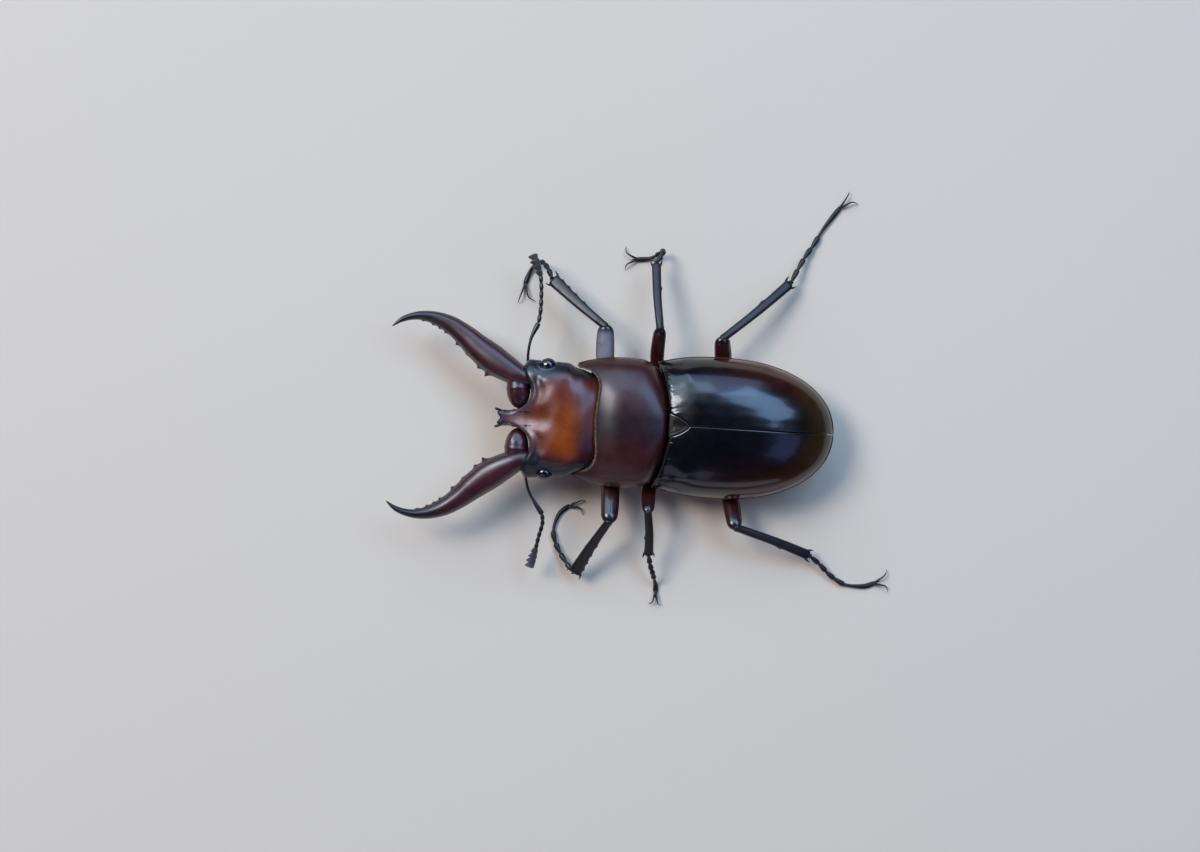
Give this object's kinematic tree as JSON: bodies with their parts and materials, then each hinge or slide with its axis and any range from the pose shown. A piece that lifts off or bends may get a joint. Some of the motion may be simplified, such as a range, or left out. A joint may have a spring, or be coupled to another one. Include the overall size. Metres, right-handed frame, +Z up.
{
  "type": "stag beetle",
  "caption": "Life-size still model of a male stag beetle standing with its long toothed jaws open, legs spread and antennae out to the sides.",
  "frame": {"origin": "middle of the footprint, legs and jaws included, at the level of the floor the feet stand on", "axes": "+Z up, the head and jaws towards -Y and the tip of the wing cases towards +Y, the beetle's left side towards +X"},
  "size_m": [0.0538, 0.0642, 0.0107],
  "materials": {
    "shell": "very glossy near-black shell, dark red-brown at the side margins and olive-brown at the tip",
    "chestnut": "satin dark chestnut shell, blackish along the middle and at the front margin",
    "russet": "satin burnt-orange shell in the middle, maroon to blue-black at the cheeks",
    "jaw": "satin dark maroon horn, black towards the tips",
    "leg": "satin charcoal-black shell",
    "thigh": "glossy dark red-brown shell, black at the knee",
    "underside": "satin dark brown shell with sparse golden hairs",
    "eye": "polished black with a fine facet pattern",
    "feeler": "satin black shell",
    "club": "matt grey-brown with a dense short pile"
  },
  "bodies": {
    "root": {"abdomen": "underside", "antenna_club_left": "club", "antenna_club_right": "club", "coxa_front_left": "underside", "coxa_front_right": "underside", "coxa_hind_left": "underside", "coxa_hind_right": "underside", "coxa_middle_left": "underside", "coxa_middle_right": "underside", "elytron_left": "shell", "elytron_right": "shell", "eye_left": "eye", "eye_right": "eye", "femur_front_left": "thigh", "femur_front_right": "thigh", "femur_hind_left": "thigh", "femur_hind_right": "thigh", "femur_middle_left": "thigh", "femur_middle_right": "thigh", "funicle_left": "feeler", "funicle_right": "feeler", "head": "russet", "mandible_left": "jaw", "mandible_right": "jaw", "mouthparts": "underside", "palp_left": "feeler", "palp_right": "feeler", "pronotum": "chestnut", "prosternum": "underside", "scape_left": "feeler", "scape_right": "feeler", "scutellum": "shell", "tarsus_front_left": "leg", "tarsus_front_right": "leg", "tarsus_hind_left": "leg", "tarsus_hind_right": "leg", "tarsus_middle_left": "leg", "tarsus_middle_right": "leg", "thorax": "underside", "tibia_front_left": "leg", "tibia_front_right": "leg", "tibia_hind_left": "leg", "tibia_hind_right": "leg", "tibia_middle_left": "leg", "tibia_middle_right": "leg"}
  },
  "joints": []
}
